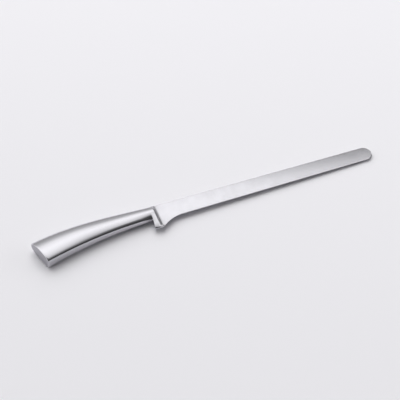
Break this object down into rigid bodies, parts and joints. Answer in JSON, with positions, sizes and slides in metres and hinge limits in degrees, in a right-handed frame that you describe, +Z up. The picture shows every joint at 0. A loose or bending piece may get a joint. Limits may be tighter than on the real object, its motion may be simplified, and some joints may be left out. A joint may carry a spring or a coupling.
{
  "type": "slicing knife",
  "caption": "All-steel slicing knife with a long narrow round-tipped blade, wedge-shaped bolster with finger guard, and hollow arched handle with an oblique butt.",
  "frame": {"origin": "on the ground under the middle of the knife's box, with the knife lying on its left side", "axes": "+X along the knife to the blade's tip, +Y to the spine's side, +Z up, out of the blade's right-hand side"},
  "size_m": [0.3984, 0.04, 0.0162],
  "materials": {
    "ground_steel": "finely ground stainless steel, grind lines across the blade",
    "satin_steel": "satin stainless steel",
    "matt_steel": "bead-blasted matt stainless steel",
    "mill_steel": "mill-finish steel strip",
    "cast_resin": "cast filled resin",
    "mineral_fill": "bound mineral sand"
  },
  "bodies": {
    "root": {"blade": "ground_steel", "bolster": "satin_steel", "tang": "mill_steel", "tang_bedding": "cast_resin", "handle_shell_right": "satin_steel", "handle_shell_left": "satin_steel", "ballast": "mineral_fill", "butt_cap": "matt_steel"}
  },
  "joints": []
}
